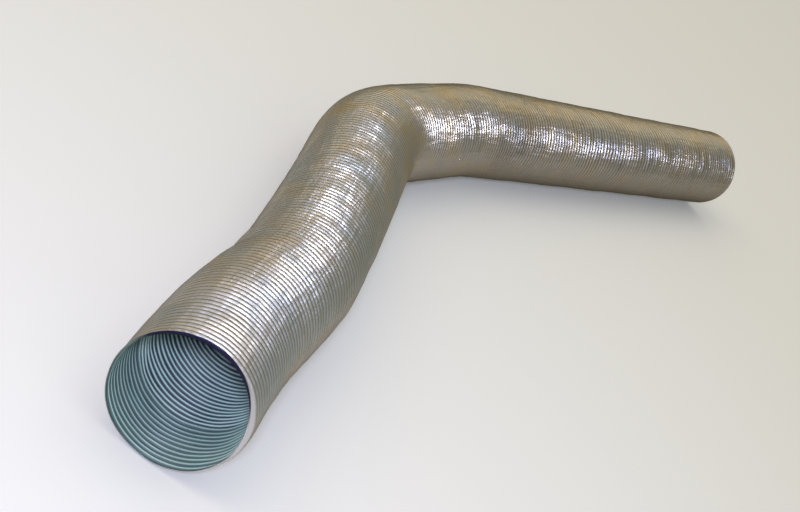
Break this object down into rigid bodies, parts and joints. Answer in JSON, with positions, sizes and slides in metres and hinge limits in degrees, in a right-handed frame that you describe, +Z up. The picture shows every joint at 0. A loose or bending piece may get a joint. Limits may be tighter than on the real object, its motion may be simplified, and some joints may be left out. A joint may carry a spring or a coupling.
{
  "type": "flexible air duct",
  "caption": "Round semi-rigid air duct of finely ridged aluminium foil with a blue-grey lining, lying flat with one soft elbow and two open cut ends.",
  "frame": {"origin": "centre of the bounding box on the surface that the duct lies on", "axes": "+Z up, +Y along the near run from the near mouth towards the elbow, +X to the right of it"},
  "size_m": [0.2918, 0.7504, 0.06],
  "materials": {
    "foil": "bright rolled foil",
    "liner": "blue-grey lacquer"
  },
  "bodies": {
    "run_1": {"foil_run_1": "foil", "liner_run_1": "liner", "foil_flex_1": "foil", "liner_flex_1": "liner"},
    "run_2": {"foil_run_2": "foil", "liner_run_2": "liner", "foil_flex_2": "foil", "liner_flex_2": "liner"},
    "run_3": {"foil_run_3": "foil", "liner_run_3": "liner", "foil_flex_3": "foil", "liner_flex_3": "liner"},
    "run_4": {"foil_run_4": "foil", "liner_run_4": "liner", "foil_flex_4": "foil", "liner_flex_4": "liner"},
    "run_5": {"foil_run_5": "foil", "liner_run_5": "liner", "foil_flex_5": "foil", "liner_flex_5": "liner"},
    "run_6": {"foil_run_6": "foil", "liner_run_6": "liner", "foil_flex_6": "foil", "liner_flex_6": "liner"},
    "run_7": {"foil_run_7": "foil", "liner_run_7": "liner", "foil_flex_7": "foil", "liner_flex_7": "liner"},
    "run_8": {"foil_run_8": "foil", "liner_run_8": "liner"}
  },
  "joints": [
    {"name": "lift_1", "type": "hinge", "parent": "run_1", "child": "run_2", "pos_m": [-0.11332, -0.31923, 0.03], "axis": [0.9986, -0.0523, 0], "range_deg": [-35, 35], "deforming": ["foil_flex_1", "liner_flex_1"]},
    {"name": "swing_2", "type": "hinge", "parent": "run_2", "child": "run_3", "pos_m": [-0.10613, -0.23756, 0.03], "axis": [0, 0, 1], "range_deg": [-46.5, 29.5], "deforming": ["foil_flex_2", "liner_flex_2"]},
    {"name": "lift_3", "type": "hinge", "parent": "run_3", "child": "run_4", "pos_m": [-0.10928, -0.14963, 0.03], "axis": [0.9984, 0.0567, 0], "range_deg": [-38, 38], "deforming": ["foil_flex_3", "liner_flex_3"]},
    {"name": "swing_4", "type": "hinge", "parent": "run_4", "child": "run_5", "pos_m": [-0.11358, -0.03791, 0.03], "axis": [0, 0, 1], "range_deg": [-21, 75], "deforming": ["foil_flex_4", "liner_flex_4"]},
    {"name": "lift_5", "type": "hinge", "parent": "run_5", "child": "run_6", "pos_m": [-0.07206, 0.06583, 0.03], "axis": [0.8809, -0.4733, 0], "range_deg": [-36, 36], "deforming": ["foil_flex_5", "liner_flex_5"]},
    {"name": "stretch_6", "type": "slide", "parent": "run_6", "child": "run_7", "axis": [0.5519, 0.8339, 0], "range_m": [-0.012, 0.006], "deforming": ["foil_flex_6", "liner_flex_6"]},
    {"name": "swing_7", "type": "hinge", "parent": "run_7", "child": "run_8", "pos_m": [0.06284, 0.27151, 0.03], "axis": [0, 0, 1], "range_deg": [-40, 40], "deforming": ["foil_flex_7", "liner_flex_7"]}
  ]
}
